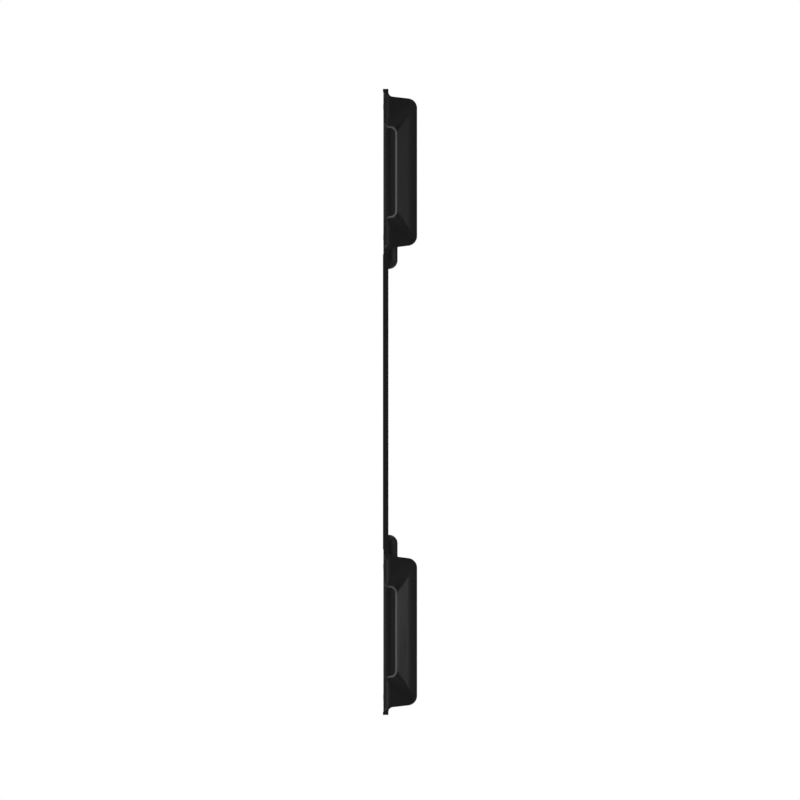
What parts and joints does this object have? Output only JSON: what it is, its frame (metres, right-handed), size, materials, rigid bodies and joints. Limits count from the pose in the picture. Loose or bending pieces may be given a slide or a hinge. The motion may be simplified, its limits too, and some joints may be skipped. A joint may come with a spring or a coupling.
{
  "type": "kick plate",
  "caption": "Flat black plate lapped onto a hollow raised box at each end, each box with a finger scoop and ramp in one side wall.",
  "frame": {"origin": "middle of the centre plate's flat back face, which is the object's back plane", "axes": "+Z along the length, +Y across the width away from the scoops, +X out of the back plane towards the faces of the boxes"},
  "size_m": [0.0333, 0.203, 0.61],
  "materials": {
    "plate_black": "satin black sheet, square sawn edges",
    "box_black": "satin black moulded, rolled edges",
    "screw_black_zinc": "black zinc",
    "insert_brass": "turned and knurled"
  },
  "bodies": {
    "root": {"centre_plate": "plate_black", "upper_grip_box": "box_black", "lower_grip_box": "box_black", "upper_joint_screw_1": "screw_black_zinc", "upper_joint_screw_2": "screw_black_zinc", "upper_joint_screw_3": "screw_black_zinc", "upper_joint_screw_4": "screw_black_zinc", "upper_threaded_insert_1": "insert_brass", "upper_threaded_insert_2": "insert_brass", "upper_threaded_insert_3": "insert_brass", "upper_threaded_insert_4": "insert_brass", "lower_joint_screw_1": "screw_black_zinc", "lower_joint_screw_2": "screw_black_zinc", "lower_joint_screw_3": "screw_black_zinc", "lower_joint_screw_4": "screw_black_zinc", "lower_threaded_insert_1": "insert_brass", "lower_threaded_insert_2": "insert_brass", "lower_threaded_insert_3": "insert_brass", "lower_threaded_insert_4": "insert_brass"}
  },
  "joints": []
}
